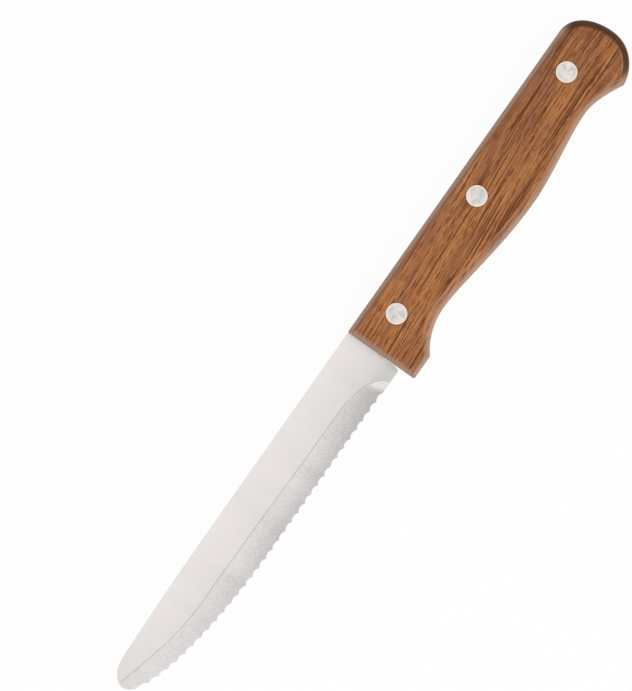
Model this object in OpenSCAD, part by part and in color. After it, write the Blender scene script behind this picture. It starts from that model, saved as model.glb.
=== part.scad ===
// Steak knife with a round tip, a scalloped edge and a riveted wooden handle.
// It lies on its side: +X runs from the tip to the butt, +Y from the edge to the spine, and +Z up from
// the side that it lies on. The origin is the middle of its footprint, on the surface under it.
// The pieces are drawn from the handle's front, its spine line and the middle of its thickness, and
// placed() then moves each one into this frame.

/* [Handle] */
// Length from the front face to the rearmost point of the butt
handle_l = 104.6; // [95:0.1:125]
// Thickness across the two flat sides
handle_t = 14; // [10:0.5:20]
// Radius of the rounding along every edge of the two sides
handle_edge_r = 1.8; // [0.6:0.1:3]
// Radius to which the two front corners are sanded, seen from the side
front_corner_r = 0.5; // [0.2:0.05:1]
// Depth of the guard, from the spine to its foot
guard_h = 21.35; // [19:0.05:24]
// Length of the flat foot of the guard
guard_l = 7.2; // [5:0.1:9]
// Depth of the handle at the front neck, where the first finger lies
neck_h = 16.9; // [15:0.1:18.5]
// Distance of the front neck from the front face
neck_x = 19.4; // [16:0.1:26]
// Depth of the handle at its belly
belly_h = 20.4; // [18:0.1:23]
// Distance of the belly from the front face
belly_x = 56; // [45:0.5:62]
// Depth of the handle at the rear neck, where the little finger lies
rear_neck_h = 17.9; // [15.5:0.1:19]
// Distance of the rear neck from the butt
rear_neck_back = 22; // [19:0.1:26]
// Depth of the handle at the hook under the butt
hook_h = 21.9; // [20:0.1:25]
// Distance of the hook from the butt
hook_back = 9.9; // [8:0.1:12]
// Depth of the rearmost point of the butt below the spine
butt_h = 11.5; // [9:0.1:14]
// Length of the round that takes the spine down into the butt
butt_round = 8.1; // [5:0.1:12]

/* [Blade] */
// Length of the blade in front of the handle
blade_l = 110.4; // [95:0.1:130]
// Width at the heel, from the spine to the edge
blade_w = 16.5; // [15:0.1:19]
// Thickness of the steel sheet
blade_t = 1.2; // [0.8:0.1:2.5]
// Step down from the handle's spine to the blade's spine
spine_step = 0.2; // [0:0.1:0.6]
// Length over which the edge sweeps up to the tip
sweep_l = 52.4; // [40:0.1:70]
// Height of the foremost point of the tip above the straight edge
tip_rise = 11.2; // [9:0.1:13]
// Length of the round between the spine and the foremost point of the tip
tip_round = 7; // [4:0.1:12]
// Drop of the spine where the round of the tip begins
spine_drop = 0.7; // [0.2:0.1:1.5]
// Length over which the spine drops
spine_drop_l = 38; // [20:1:60]
// Slit between the blade's shoulder and the wood below the tang
shoulder_gap = 0.15; // [0.1:0.05:0.3]
// The same slit at the heel, where the shoulder falls back
heel_gap = 0.6; // [0.35:0.05:1.2]
// Height above the edge from which the shoulder falls back to the heel
heel_relief_h = 1.7; // [1.2:0.1:3]
// Radius of the heel corner
heel_r = 0.3; // [0.2:0.1:1]

/* [Ground bevel] */
// Thickness left at the edge once the bevel is ground
edge_t = 0.4; // [0.2:0.05:0.7]
// Width of the bevel at its rear, above the straight edge
bevel_w = 6.65; // [5:0.05:8]
// Width of the bevel above the straight edge where it turns up to the tip
bevel_fore_w = 7.3; // [5:0.05:8.5]
// Distance from the handle to the point where the bevel runs out at the edge
bevel_start = 4.4; // [3:0.1:6]
// Length of the curve in which the bevel runs out
runout_l = 14.6; // [8:0.1:20]
// Distance from the tip to the point where the bevel line turns up
bevel_turn_l = 32.4; // [25:0.1:40]
// Height of the bevel line at the tip above the foremost point of the tip
bevel_tip_rise = 1.6; // [0.8:0.1:2.4]

/* [Teeth] */
// Distance from the handle to the first tooth
teeth_start = 7.8; // [7:0.1:10]
// Distance from tooth to tooth along the blade
tooth_pitch = 2.96; // [2.4:0.02:4]
// Depth of each scallop
tooth_depth = 0.6; // [0.3:0.05:0.9]
// Width of the point left on each tooth
tooth_flat = 0.2; // [0.1:0.05:0.4]
// Lean of the scallops, which are ground in from the far side
tooth_lean = 52; // [20:1:60]

/* [Tang] */
// Width of the tang
tang_w = 11.6; // [10:0.1:13]
// Distance from the butt to the end of the tang
tang_back = 9.5; // [8.5:0.1:12]
// Radius of the two rear corners of the tang
tang_r = 3; // [1:0.1:4.5]
// Clearance of the slot on each side of the steel
slot_gap = 0.05; // [0.02:0.01:0.2]
// Clearance of the slot below and behind the tang
slot_end_gap = 0.3; // [0.1:0.05:0.6]

/* [Rivets] */
// Diameter of the rivet heads
head_d = 5.8; // [4:0.1:7]
// Height of the rivet heads
head_h = 1.8; // [1:0.1:3]
// Chamfer around the outer face of a head
head_chamfer = 0.12; // [0.05:0.01:0.3]
// Outer diameter of the hollow shank
shank_d = 3.2; // [2.4:0.1:4]
// Diameter of the solid pin that is pressed into the hollow shank
pin_d = 2.2; // [1.4:0.1:2.6]
// Clearance around a head in its counterbore
head_gap = 0.1; // [0.04:0.01:0.2]
// Clearance around the shank in the wood
shank_gap = 0.05; // [0.02:0.01:0.2]
// Clearance around the shank in the tang
tang_hole_gap = 0.15; // [0.05:0.01:0.4]
// Clearance around the pin in the shank
pin_gap = 0.02; // [0.01:0.01:0.05]
// Space left at the end of the shank and of the pin
shank_end_gap = 0.4; // [0.2:0.1:1]
// Distance of the front rivet from the front face
front_rivet_x = 11.3; // [9:0.1:15]
// Distance of the middle rivet from the front face
middle_rivet_x = 48.7; // [40:0.1:58]
// Distance of the rear rivet from the butt
rear_rivet_back = 15.75; // [14:0.05:20]
// Depth of the front and rear rivets below the spine
end_rivet_h = 7.7; // [6.5:0.1:8]
// Depth of the middle rivet below the spine
middle_rivet_h = 7.15; // [6:0.05:8]

/* [Hidden] */

// Depth of every cut past the face that it opens
overrun = 1.5;
// Steps along each stretch of an outline, round each rounded edge of the handle, and round its corners
curve_steps = 12;
edge_steps = 5;
corner_steps = 3;
// Sides of the round pieces and of the scallops
round_sides = 48;

// How far the handle's curves hold their direction at each end, as shares of the stretch they cross
guard_leave_shares = [0.21, 0.52];
neck_reach_share = 0.40;
belly_front_shares = [0.24, 0.41];
belly_rear_shares = [0.34, 0.28];
rear_neck_leave_share = 0.36;
hook_reach_shares = [0.26, 0.41];
hook_leave_shares = [0.46, 0.03];
butt_share = 0.6;
spine_reach_share = 0.6;

// The same for the line of the bevel, level up to its turn and then on to the tip
level_shares = [0.33, 0.33];
turn_leave_shares = [0.43, -0.04];
turn_reach_shares = [0.35, 0.49];
// Share of the bevel's full width at which it stops getting steeper
steepest_share = 0.55;

spine_y = -spine_step;
edge_y = spine_y - blade_w;
face_z = blade_t / 2;
edge_z = edge_t - blade_t / 2;
tip_y = edge_y + tip_rise;
sweep_x = sweep_l - blade_l;
tip_round_x = tip_round - blade_l;
spine_drop_x = tip_round_x + spine_drop_l;

tooth_count = floor((blade_l - teeth_start) / tooth_pitch);

tang_end = handle_l - tang_back;
tang_y = spine_y - tang_w;
slot_w = blade_t + 2 * slot_gap;

counterbore_z = handle_t / 2 - head_h;
shank_l = 2 * counterbore_z - shank_end_gap;
pin_hole_d = pin_d + 2 * pin_gap;

front_rivet = [front_rivet_x, -end_rivet_h];
middle_rivet = [middle_rivet_x, -middle_rivet_h];
rear_rivet = [handle_l - rear_rivet_back, -end_rivet_h];
rivets = [front_rivet, middle_rivet, rear_rivet];

function unit(v) = v / norm(v);

// Point at share t of a cubic curve from a to d that leaves towards b and arrives from c
function cubic(a, b, c, d, t) =
    pow(1 - t, 3) * a + 3 * t * pow(1 - t, 2) * b + 3 * t * t * (1 - t) * c + pow(t, 3) * d;

// The whole curve without its far end, which the next stretch brings
function curve(a, b, c, d) = [for (i = [0:curve_steps - 1]) cubic(a, b, c, d, i / curve_steps)];

// A wave that leaves a and reaches b level
function wave(a, b, shares) =
    curve(a, [a.x + shares[0] * (b.x - a.x), a.y], [b.x - shares[1] * (b.x - a.x), b.y], b);

// A counterclockwise outline moved inwards by d, with mitred corners
function inset(points, d) = let(n = len(points)) [
    for (i = [0:n - 1]) let(
        before = unit(points[i] - points[(i + n - 1) % n]),
        after = unit(points[(i + 1) % n] - points[i]),
        n1 = [-before.y, before.x],
        n2 = [-after.y, after.x]
    ) points[i] + d * (n1 + n2) / (1 + n1 * n2)
];

// Arc round a square corner of an outline, from the edge that comes in to the one that goes out
function corner_arc(before, corner, after, r) =
    let(back = r * unit(before - corner), on = r * unit(after - corner)) [
        for (i = [0:corner_steps]) let(a = 90 * i / corner_steps)
            corner + back * (1 - sin(a)) + on * (1 - cos(a))
    ];

// Shares of the way from a to d, given as a pair for x and y
function part_way(a, d, shares) = [shares.x * (d.x - a.x), shares.y * (d.y - a.y)];

guard_front = [0, -guard_h];
guard_rear = [guard_l, -guard_h];
neck = [neck_x, -neck_h];
belly = [belly_x, -belly_h];
rear_neck = [handle_l - rear_neck_back, -rear_neck_h];
hook = [handle_l - hook_back, -hook_h];
butt = [handle_l, -butt_h];
spine_end = [handle_l - butt_round, 0];
spine_front = [0, 0];

// Side view of the handle, from the butt over the spine to the guard and back along the underside
handle_outline = concat(
    curve(butt, butt + [0, butt_share * butt_h],
        spine_end + [spine_reach_share * butt_round, 0], spine_end),
    [spine_end, spine_front, guard_front],
    curve(guard_rear, guard_rear + part_way(guard_rear, neck, guard_leave_shares),
        neck - [neck_reach_share * (neck_x - guard_l), 0], neck),
    wave(neck, belly, belly_front_shares),
    wave(belly, rear_neck, belly_rear_shares),
    curve(rear_neck, rear_neck + [rear_neck_leave_share * (hook.x - rear_neck.x), 0],
        hook - part_way(rear_neck, hook, hook_reach_shares), hook),
    curve(hook, hook + part_way(hook, butt, hook_leave_shares),
        butt - [0, butt_share * (butt.y - hook.y)], butt)
);

// Places of the two front corners in that outline
front_corners = [curve_steps + 1, curve_steps + 2];

// The outline moved inwards by d, with its front corners rounded
function handle_ring(d) = let(points = inset(handle_outline, d)) [
    for (i = [0:len(points) - 1])
        each i == front_corners[0] || i == front_corners[1]
            ? corner_arc(points[i - 1], points[i], points[i + 1], front_corner_r)
            : [points[i]]
];

// Each ring of the handle as its inset and its height, from the lower side to the upper one
lower_edge = [
    for (i = [0:edge_steps]) let(a = 90 * i / edge_steps)
        [handle_edge_r * (1 - sin(a)), handle_edge_r * (1 - cos(a)) - handle_t / 2]
];
upper_edge = [for (i = [edge_steps:-1:0]) [lower_edge[i][0], -lower_edge[i][1]]];
handle_rings = concat(lower_edge, upper_edge);

// Height of the edge before the teeth are ground: straight, then a quarter of an ellipse up to the tip
function edge_height(x) =
    let(s = max(0, sweep_x - x) / sweep_l) edge_y + tip_rise * (1 - sqrt(max(0, 1 - s * s)));
function spine_height(x) = spine_y - spine_drop * pow(max(0, spine_drop_x - x) / spine_drop_l, 2);

tooth_points = [
    for (k = [0:tooth_count]) let(x = -teeth_start - k * tooth_pitch) [x, edge_height(x)]
];
last_tooth = tooth_points[tooth_count];
last_tooth_angle = asin(min(1, (sweep_x - last_tooth.x) / sweep_l));

blade_outline = concat(
    // the foot of the tip, from its foremost point to the last tooth
    [for (i = [0:curve_steps - 1]) let(a = 90 + (last_tooth_angle - 90) * i / curve_steps)
        [sweep_x - sweep_l * sin(a), tip_y - tip_rise * cos(a)]],
    [for (k = [tooth_count:-1:0]) tooth_points[k]],
    // the heel and the shoulder
    [for (i = [0:edge_steps]) let(a = 90 * i / edge_steps)
        [-heel_gap - heel_r * (1 - sin(a)), edge_y + heel_r * (1 - cos(a))]],
    [[-shoulder_gap, edge_y + heel_relief_h], [-shoulder_gap, spine_y]],
    // the spine, and the round that ends it at the tip
    [for (i = [0:curve_steps]) let(x = spine_drop_x - spine_drop_l * i / curve_steps)
        [x, spine_height(x)]],
    [for (i = [curve_steps - 1:-1:1]) let(a = 90 * i / curve_steps, top = spine_height(tip_round_x))
        [tip_round_x - tip_round * cos(a), tip_y + (top - tip_y) * sin(a)]]
);

// The line where the bevel leaves the flat face, from its run-out near the handle to the tip
runout_x = -bevel_start - runout_l;
turn_point = [bevel_turn_l - blade_l, edge_y + bevel_fore_w];
line_end = [-blade_l, tip_y + bevel_tip_rise];
bevel_line = concat(
    [for (i = [0:curve_steps - 1]) let(a = 90 * i / curve_steps)
        [runout_x + runout_l * cos(a), edge_y + bevel_w * sin(a)]],
    wave([runout_x, edge_y + bevel_w], turn_point, level_shares),
    curve(turn_point, turn_point + part_way(turn_point, line_end, turn_leave_shares),
        line_end - part_way(turn_point, line_end, turn_reach_shares), line_end),
    [line_end]
);

// Fall of the bevel for each unit that it runs towards the edge, held back where the bevel is narrow
function bevel_slope(p) =
    (blade_t - edge_t) / max(p.y - edge_height(p.x), steepest_share * bevel_w);

// One section of the body that the grinding takes away
function bevel_section(p) = let(out_y = edge_height(p.x) - overrun) [
    [p.x, p.y, face_z + overrun],
    [p.x, p.y, face_z],
    [p.x, out_y, face_z - bevel_slope(p) * (p.y - out_y)],
    [p.x, out_y, face_z + overrun]
];

// Closed body through a list of rings of n points each. The rings run counterclockwise, seen from the
// side that the last one faces.
module loft(rings) {
    n = len(rings[0]);
    m = len(rings);
    polyhedron(
        points = [for (ring = rings) each ring],
        faces = concat(
            [[for (i = [0:n - 1]) i]],
            [[for (i = [n - 1:-1:0]) (m - 1) * n + i]],
            [for (k = [0:m - 2]) for (i = [0:n - 1]) let(j = (i + 1) % n)
                [k * n + i, (k + 1) * n + i, (k + 1) * n + j]],
            [for (k = [0:m - 2]) for (i = [0:n - 1]) let(j = (i + 1) % n)
                [k * n + i, (k + 1) * n + j, k * n + j]]
        )
    );
}

// Moves a piece from the place where it is drawn into the part's own frame
module placed() {
    translate([(blade_l - handle_l) / 2, max(hook_h, guard_h, belly_h) / 2, handle_t / 2])
        children();
}

// Outline of the tang, grown by a gap below and behind, and by a rise above the blade's spine
module tang_shape(gap, rise) {
    end = tang_end + gap;
    low = tang_y - gap;
    corner = tang_r + gap;
    difference() {
        translate([-shoulder_gap, low])
            square([end + shoulder_gap, spine_y + rise - low]);
        translate([end - corner, low])
            square([corner + overrun, corner]);
    }
    translate([end - corner, low + corner])
        circle(r = corner, $fn = round_sides);
}

// One scallop between two neighbouring tooth points. The grinding wheel leans, so the scallop has its
// full depth on the near side and reaches further up on the far side.
module scallop(a, b) {
    along = unit(a - b);
    half = (norm(a - b) - tooth_flat) / 2;
    sink = tooth_depth * cos(tooth_lean);
    r = (half * half + sink * sink) / (2 * sink);
    centre = (a + b) / 2 + [along.y, -along.x] * (r - sink) / cos(tooth_lean);
    translate([centre.x, centre.y, edge_z])
        rotate([0, 0, atan2(along.y, along.x)])
            rotate([tooth_lean, 0, 0])
                cylinder(
                    h = 2 * (blade_t + r) / cos(tooth_lean),
                    r = r,
                    center = true,
                    $fn = round_sides
                );
}

module blade() {
    color([0.89, 0.88, 0.86])
        placed() {
            difference() {
                translate([0, 0, -blade_t / 2])
                    linear_extrude(height = blade_t) {
                        difference() {
                            union() {
                                polygon(blade_outline);
                                tang_shape(0, 0);
                            }
                            for (p = rivets) {
                                translate(p)
                                    circle(d = shank_d + 2 * tang_hole_gap, $fn = round_sides);
                            }
                        }
                    }
                loft([for (p = bevel_line) bevel_section(p)]);
                for (k = [0:tooth_count - 1]) {
                    scallop(tooth_points[k], tooth_points[k + 1]);
                }
            }
        }
}

// Everything that is bored through the wood for one rivet
module rivet_bore() {
    cylinder(h = handle_t + 2 * overrun, d = shank_d + 2 * shank_gap, center = true, $fn = round_sides);
    for (side = [-1, 1]) {
        translate([0, 0, side * (counterbore_z + (head_h + overrun) / 2)])
            cylinder(h = head_h + overrun, d = head_d + 2 * head_gap, center = true, $fn = round_sides);
    }
}

module handle() {
    color([0.65, 0.41, 0.24])
        placed() {
            difference() {
                loft([
                    for (ring = handle_rings)
                        [for (p = handle_ring(ring[0])) [p.x, p.y, ring[1]]]
                ]);
                translate([0, 0, -slot_w / 2])
                    linear_extrude(height = slot_w)
                        tang_shape(slot_end_gap, spine_step + overrun);
                for (p = rivets) {
                    translate(p)
                        rivet_bore();
                }
            }
        }
}

// Round head with a fine chamfer on its outer face, standing on z = 0 with the face up
module rivet_head() {
    cylinder(h = head_h - head_chamfer, d = head_d, $fn = round_sides);
    translate([0, 0, head_h - head_chamfer])
        cylinder(h = head_chamfer, d1 = head_d, d2 = head_d - 2 * head_chamfer, $fn = round_sides);
}

// Upper half of a rivet: a head with a hollow shank that reaches down through the wood and the tang
module rivet_cap(p) {
    color([0.87, 0.87, 0.87])
        placed() {
            translate([p.x, p.y, counterbore_z]) {
                difference() {
                    union() {
                        rivet_head();
                        translate([0, 0, -shank_l])
                            cylinder(h = shank_l + head_h / 2, d = shank_d, $fn = round_sides);
                    }
                    translate([0, 0, -shank_l - overrun])
                        cylinder(h = shank_l + overrun, d = pin_hole_d, $fn = round_sides);
                }
            }
        }
}

// Lower half of a rivet: a head with a solid pin that is pressed up into the hollow shank
module rivet_post(p) {
    color([0.87, 0.87, 0.87])
        placed() {
            translate([p.x, p.y, -counterbore_z]) {
                rotate([180, 0, 0])
                    rivet_head();
                translate([0, 0, -head_h / 2])
                    cylinder(h = shank_l + head_h / 2, d = pin_d, $fn = round_sides);
            }
        }
}

module rivet_cap_front() {
    rivet_cap(front_rivet);
}

module rivet_cap_middle() {
    rivet_cap(middle_rivet);
}

module rivet_cap_rear() {
    rivet_cap(rear_rivet);
}

module rivet_post_front() {
    rivet_post(front_rivet);
}

module rivet_post_middle() {
    rivet_post(middle_rivet);
}

module rivet_post_rear() {
    rivet_post(rear_rivet);
}

blade();
handle();
rivet_cap_front();
rivet_cap_middle();
rivet_cap_rear();
rivet_post_front();
rivet_post_middle();
rivet_post_rear();
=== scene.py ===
import math

import bmesh
import bpy
import numpy as np
from mathutils import Matrix, Vector
from mathutils.geometry import delaunay_2d_cdt


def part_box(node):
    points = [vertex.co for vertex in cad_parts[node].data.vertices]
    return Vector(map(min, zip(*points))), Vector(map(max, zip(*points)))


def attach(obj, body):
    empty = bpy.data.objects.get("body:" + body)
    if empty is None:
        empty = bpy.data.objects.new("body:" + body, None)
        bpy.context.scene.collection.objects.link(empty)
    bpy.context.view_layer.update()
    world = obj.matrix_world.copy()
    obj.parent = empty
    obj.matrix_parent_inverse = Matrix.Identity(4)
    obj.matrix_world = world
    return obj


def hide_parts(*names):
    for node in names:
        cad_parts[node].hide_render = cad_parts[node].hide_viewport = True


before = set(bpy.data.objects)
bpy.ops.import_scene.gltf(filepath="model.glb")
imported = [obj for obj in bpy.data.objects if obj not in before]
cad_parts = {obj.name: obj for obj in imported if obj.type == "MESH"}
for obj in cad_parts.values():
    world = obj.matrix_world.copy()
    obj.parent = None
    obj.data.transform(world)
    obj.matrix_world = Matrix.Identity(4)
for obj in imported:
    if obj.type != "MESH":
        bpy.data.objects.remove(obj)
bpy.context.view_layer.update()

# The blade. It is blanked with its tang from one stainless sheet, ground on the upper side only along a
# line that runs out in front of the handle, and scalloped from the lower side by a leaning wheel.
# It is drawn in millimetres from the handle's front, its spine line and the middle of its thickness.

mm = 0.001
handle_low, handle_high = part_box("handle")
knife_origin = Vector((handle_low.x, handle_high.y, (handle_low.z + handle_high.z) / 2))
blade_low, blade_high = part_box("blade")

blade_l = (handle_low.x - blade_low.x) / mm
blade_w = 16.5
sheet_t = (blade_high.z - blade_low.z) / mm
edge_t = 0.4
spine_y = (blade_high.y - handle_high.y) / mm
edge_y = spine_y - blade_w
face_z = sheet_t / 2
edge_z = edge_t - sheet_t / 2
sweep_l = 52.4
sweep_x = sweep_l - blade_l
tip_rise = 11.2
tip_y = edge_y + tip_rise
tip_round = 7
tip_round_x = tip_round - blade_l
spine_drop = 0.7
spine_drop_l = 38
spine_drop_x = tip_round_x + spine_drop_l
spine_round = 0.05
shoulder_x = -0.15
heel_x = -0.6
heel_r = 0.3
heel_relief_h = 1.7
heel_relief_y = edge_y + heel_relief_h

bevel_w = 6.65
bevel_fore_w = 7.3
bevel_start_x = -4.4
runout_l = 14.6
runout_x = bevel_start_x - runout_l
bevel_turn_l = 32.4
bevel_turn = Vector((bevel_turn_l - blade_l, edge_y + bevel_fore_w))
bevel_tip_h = 1.6
bevel_tip = Vector((-blade_l, tip_y + bevel_tip_h))
least_bevel_w = 0.55 * bevel_w
grind_line_w = 0.22

first_tooth_x = -7.8
tooth_pitch = 2.96
tooth_depth = 0.6
tooth_flat = 0.2
tooth_lean = math.radians(52)
ridge_blunting = 0.1

tang_w = 11.6
tang_low_y = spine_y - tang_w
tang_end_x = (blade_high.x - handle_low.x) / mm
tang_corner_r = 3
tang_hole_r = 1.75
rivet_places = [Vector(((low.x + high.x) / 2 - handle_low.x, (low.y + high.y) / 2 - handle_high.y)) / mm
                for low, high in (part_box("rivet_cap_" + place) for place in ("front", "middle", "rear"))]

tooth_steps = 14
tip_steps = 32
sweep_steps = 16
grind_steps = 48
level_steps = 64
spine_steps = 32
heel_steps = 6
heel_run_steps = 8
tang_corner_steps = 12
round_steps = 3
edge_path_points = 1200
hole_sides = 48
weld_distance = 1e-6


def cubic(a, b, c, d, steps):
    """Points of the curve from a to d that leaves towards b and arrives from c, without the last one."""
    shares = [i / steps for i in range(steps)]
    return [(1 - t) ** 3 * a + 3 * t * (1 - t) ** 2 * b + 3 * t * t * (1 - t) * c + t ** 3 * d
            for t in shares]


def quarter(centre, along, across, steps):
    """Points of a quarter of an ellipse about a centre, from along to across, both ends included."""
    turns = [math.radians(90 * i / steps) for i in range(steps + 1)]
    return [centre + along * math.cos(a) + across * math.sin(a) for a in turns]


def edge_height(x):
    """Height of the edge before the scallops: straight, then a quarter of an ellipse up to the tip."""
    s = min(max(sweep_x - x, 0) / sweep_l, 1)
    return edge_y + tip_rise * (1 - math.sqrt(1 - s * s))


def spine_height(x):
    return spine_y - spine_drop * (max(0, spine_drop_x - x) / spine_drop_l) ** 2


# The grind line as the wheel leaves it, from its run-out at the edge to the tip
fore = bevel_tip - bevel_turn
level_reach = 0.33 * Vector((bevel_turn.x - runout_x, 0))
bevel_rear = Vector((runout_x, edge_y + bevel_w))
turn_leave = Vector((0.43 * fore.x, -0.04 * fore.y))
tip_arrive = Vector((0.35 * fore.x, 0.49 * fore.y))
grind_line = quarter(Vector((runout_x, edge_y)), Vector((runout_l, 0)), Vector((0, bevel_w)),
                     grind_steps)[:-1]
grind_line += cubic(bevel_rear, bevel_rear + level_reach, bevel_turn - level_reach, bevel_turn, level_steps)
grind_line += cubic(bevel_turn, bevel_turn + turn_leave, bevel_tip - tip_arrive, bevel_tip, grind_steps)
grind_line += [bevel_tip]
grind_xs = [p.x for p in reversed(grind_line)]
grind_ys = [p.y for p in reversed(grind_line)]


def upper_face(x, y):
    """Height of the ground side above the middle of the sheet."""
    if x > bevel_start_x:
        return face_z
    line_y = float(np.interp(x, grind_xs, grind_ys))
    slope = (face_z - edge_z) / max(line_y - edge_height(x), least_bevel_w)
    return face_z - slope * max(0, line_y - y)


def scallop_points(rear, fore):
    """Points of one scallop on the upper and on the lower face, from its fore end to its rear end. The
    cut's depth on the upper face hangs on the bevel's height there, so it is worked out in five rounds."""
    along = (rear - fore).normalized()
    inwards = Vector((-along.y, along.x))
    half = ((rear - fore).length - tooth_flat) / 2
    sink = tooth_depth * math.cos(tooth_lean)
    wheel_r = (half * half + sink * sink) / (2 * sink)
    upper, lower = [], []
    for i in range(tooth_steps + 1):
        u = half * (2 * i / tooth_steps - 1)
        reach = math.sqrt(wheel_r * wheel_r - u * u) - (wheel_r - sink)
        base = (rear + fore) / 2 + along * u
        depth = reach / math.cos(tooth_lean)
        for _ in range(5):
            spot = base + inwards * depth
            rise = upper_face(spot.x, spot.y) - edge_z
            depth = (reach - rise * math.sin(tooth_lean)) / math.cos(tooth_lean)
        upper.append(base + inwards * max(depth, 0))
        lower.append(base + inwards * (reach / math.cos(tooth_lean)
                                       + (face_z + edge_z) * math.tan(tooth_lean)))
    return upper, lower


# The outline, counterclockwise from the foremost point of the tip along the edge, in pairs of points: on
# the upper face and on the lower one, and whether the spot was scalloped
tooth_count = int((blade_l + first_tooth_x) / tooth_pitch)
tooth_spots = [Vector((first_tooth_x - k * tooth_pitch, edge_height(first_tooth_x - k * tooth_pitch)))
               for k in range(tooth_count + 1)]
last_angle = math.degrees(math.asin((sweep_x - tooth_spots[-1].x) / sweep_l))
sweep_turns = [math.radians(90 + (last_angle - 90) * i / sweep_steps) for i in range(sweep_steps + 1)]
heel_run = bevel_start_x - first_tooth_x
blade_outline = []


def add_plain(points):
    for p in points:
        blade_outline.append((p, p, False))


add_plain(Vector((sweep_x - sweep_l * math.sin(a), tip_y - tip_rise * math.cos(a))) for a in sweep_turns)
ridge_sink = (face_z + edge_z) * math.tan(tooth_lean) - ridge_blunting
for k in range(tooth_count - 1, -1, -1):
    upper, lower = scallop_points(tooth_spots[k], tooth_spots[k + 1])
    blade_outline.extend((a, b, True) for a, b in zip(upper, lower))
    if k > 0:
        chord = (tooth_spots[k - 1] - tooth_spots[k + 1]).normalized()
        ridge = tooth_spots[k] + ridge_sink * Vector((-chord.y, chord.x))
        blade_outline.append((tooth_spots[k], ridge, True))
add_plain([tooth_spots[0]])
heel_run_xs = [first_tooth_x + heel_run * i / heel_run_steps for i in range(1, heel_run_steps + 1)]
add_plain(Vector((x, edge_y)) for x in heel_run_xs)
add_plain(quarter(Vector((heel_x - heel_r, edge_y + heel_r)), Vector((0, -heel_r)), Vector((heel_r, 0)),
                  heel_steps))
add_plain([Vector((shoulder_x, heel_relief_y)), Vector((shoulder_x, tang_low_y))])
add_plain(quarter(Vector((tang_end_x - tang_corner_r, tang_low_y + tang_corner_r)),
                  Vector((0, -tang_corner_r)), Vector((tang_corner_r, 0)), tang_corner_steps))
add_plain([Vector((tang_end_x, spine_y)), Vector((shoulder_x, spine_y))])
add_plain(Vector((x, spine_height(x))) for x in np.linspace(spine_drop_x, tip_round_x, spine_steps + 1))
tip_top = spine_height(tip_round_x)
add_plain(quarter(Vector((tip_round_x, tip_y)), Vector((0, tip_top - tip_y)), Vector((-tip_round, 0)),
                  tip_steps)[1:-1])


def inset(points, d):
    """A counterclockwise outline moved inwards by d, with mitred corners."""
    moved = []
    for i, p in enumerate(points):
        before = (p - points[i - 1]).normalized()
        after = (points[(i + 1) % len(points)] - p).normalized()
        normals = Vector((-before.y, before.x)), Vector((-after.y, after.x))
        moved.append(p + d * (normals[0] + normals[1]) / (1 + normals[0].dot(normals[1])))
    return moved


def wall(bm, rings, closed=True):
    """Faces between rings of vertices, each ring as long as the next."""
    faces = []
    count = len(rings[0])
    for lower, upper in zip(rings, rings[1:]):
        for i in range(count if closed else count - 1):
            j = (i + 1) % count
            faces.append(bm.faces.new((lower[i], lower[j], upper[j], upper[i])))
    return faces


def sheet(bm, loops, regions, loose, height, facing):
    """Fills the first loop of vertices, less the other loops, with triangles. The regions are closed
    chains of vertices inside it, the loose points become vertices, and each face comes with the set
    of regions that it lies in."""
    verts = [v for loop in loops for v in loop]
    for chain in regions:
        verts.extend(v for v in chain if v not in verts)
    index = {v: i for i, v in enumerate(verts)}
    points = [v.co.xy for v in verts] + [Vector(p) for p in loose]
    chains = [[index[v] for v in loop] for loop in loops + regions]
    found, _, triangles, sources, _, owners = delaunay_2d_cdt(points, [], chains, 1, weld_distance)
    corners = []
    for p, source in zip(found, sources):
        inside = [i for i in source if i < len(verts)]
        corners.append(verts[inside[0]] if inside else bm.verts.new((p.x, p.y, height(p.x, p.y))))
    faces = []
    for triangle, owner in zip(triangles, owners):
        if any(1 <= i < len(loops) for i in owner) or 0 not in owner:
            continue
        picked = [corners[i] for i in (triangle if facing > 0 else reversed(triangle))]
        faces.append((bm.faces.new(picked), {i - len(loops) for i in owner if i >= len(loops)}))
    return faces


def crease_border(faces):
    """Keeps the border of a flat or ground face crisp."""
    members = set(faces)
    for face in faces:
        for e in face.edges:
            if any(other not in members for other in e.link_faces):
                e.smooth = False


def circle(bm, centre, r, z, sides):
    turns = [2 * math.pi * i / sides for i in range(sides)]
    return [bm.verts.new((centre.x + r * math.cos(a), centre.y + r * math.sin(a), z)) for a in turns]


def piece(name, bm, materials, crease=28):
    """A piece of the knife from a mesh drawn in millimetres, smooth up to the crease angle."""
    bm.normal_update()
    bm.transform(Matrix.Translation(knife_origin) @ Matrix.Scale(mm, 4))
    for face in bm.faces:
        face.smooth = True
    mesh = bpy.data.meshes.new(name)
    bm.edges.index_update()
    creases = {e.index for e in bm.edges if not e.smooth}
    bm.to_mesh(mesh)
    bm.free()
    mesh.set_sharp_from_angle(angle=math.radians(crease))
    sharp = mesh.attributes.get("sharp_edge") or mesh.attributes.new("sharp_edge", "BOOLEAN", "EDGE")
    for i in creases:
        sharp.data[i].value = True
    for material in materials:
        mesh.materials.append(material)
    obj = bpy.data.objects.new(name, mesh)
    bpy.context.scene.collection.objects.link(obj)
    return obj


def add(tree, kind, values=(), **settings):
    """A shader node with its settings, and its inputs given as values or as other nodes' outputs."""
    node = tree.nodes.new("ShaderNode" + kind)
    for name, value in settings.items():
        setattr(node, name, value)
    for socket, value in dict(values).items():
        if isinstance(value, bpy.types.NodeSocket):
            tree.links.new(value, node.inputs[socket])
        else:
            node.inputs[socket].default_value = value
    return node


def calc(tree, operation, *values, clamp=False):
    """The result of a sum on numbers and on other nodes' outputs."""
    return add(tree, "Math", enumerate(values), operation=operation, use_clamp=clamp).outputs[0]


def times(tree, a, b):
    return calc(tree, "MULTIPLY", a, b)


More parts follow.
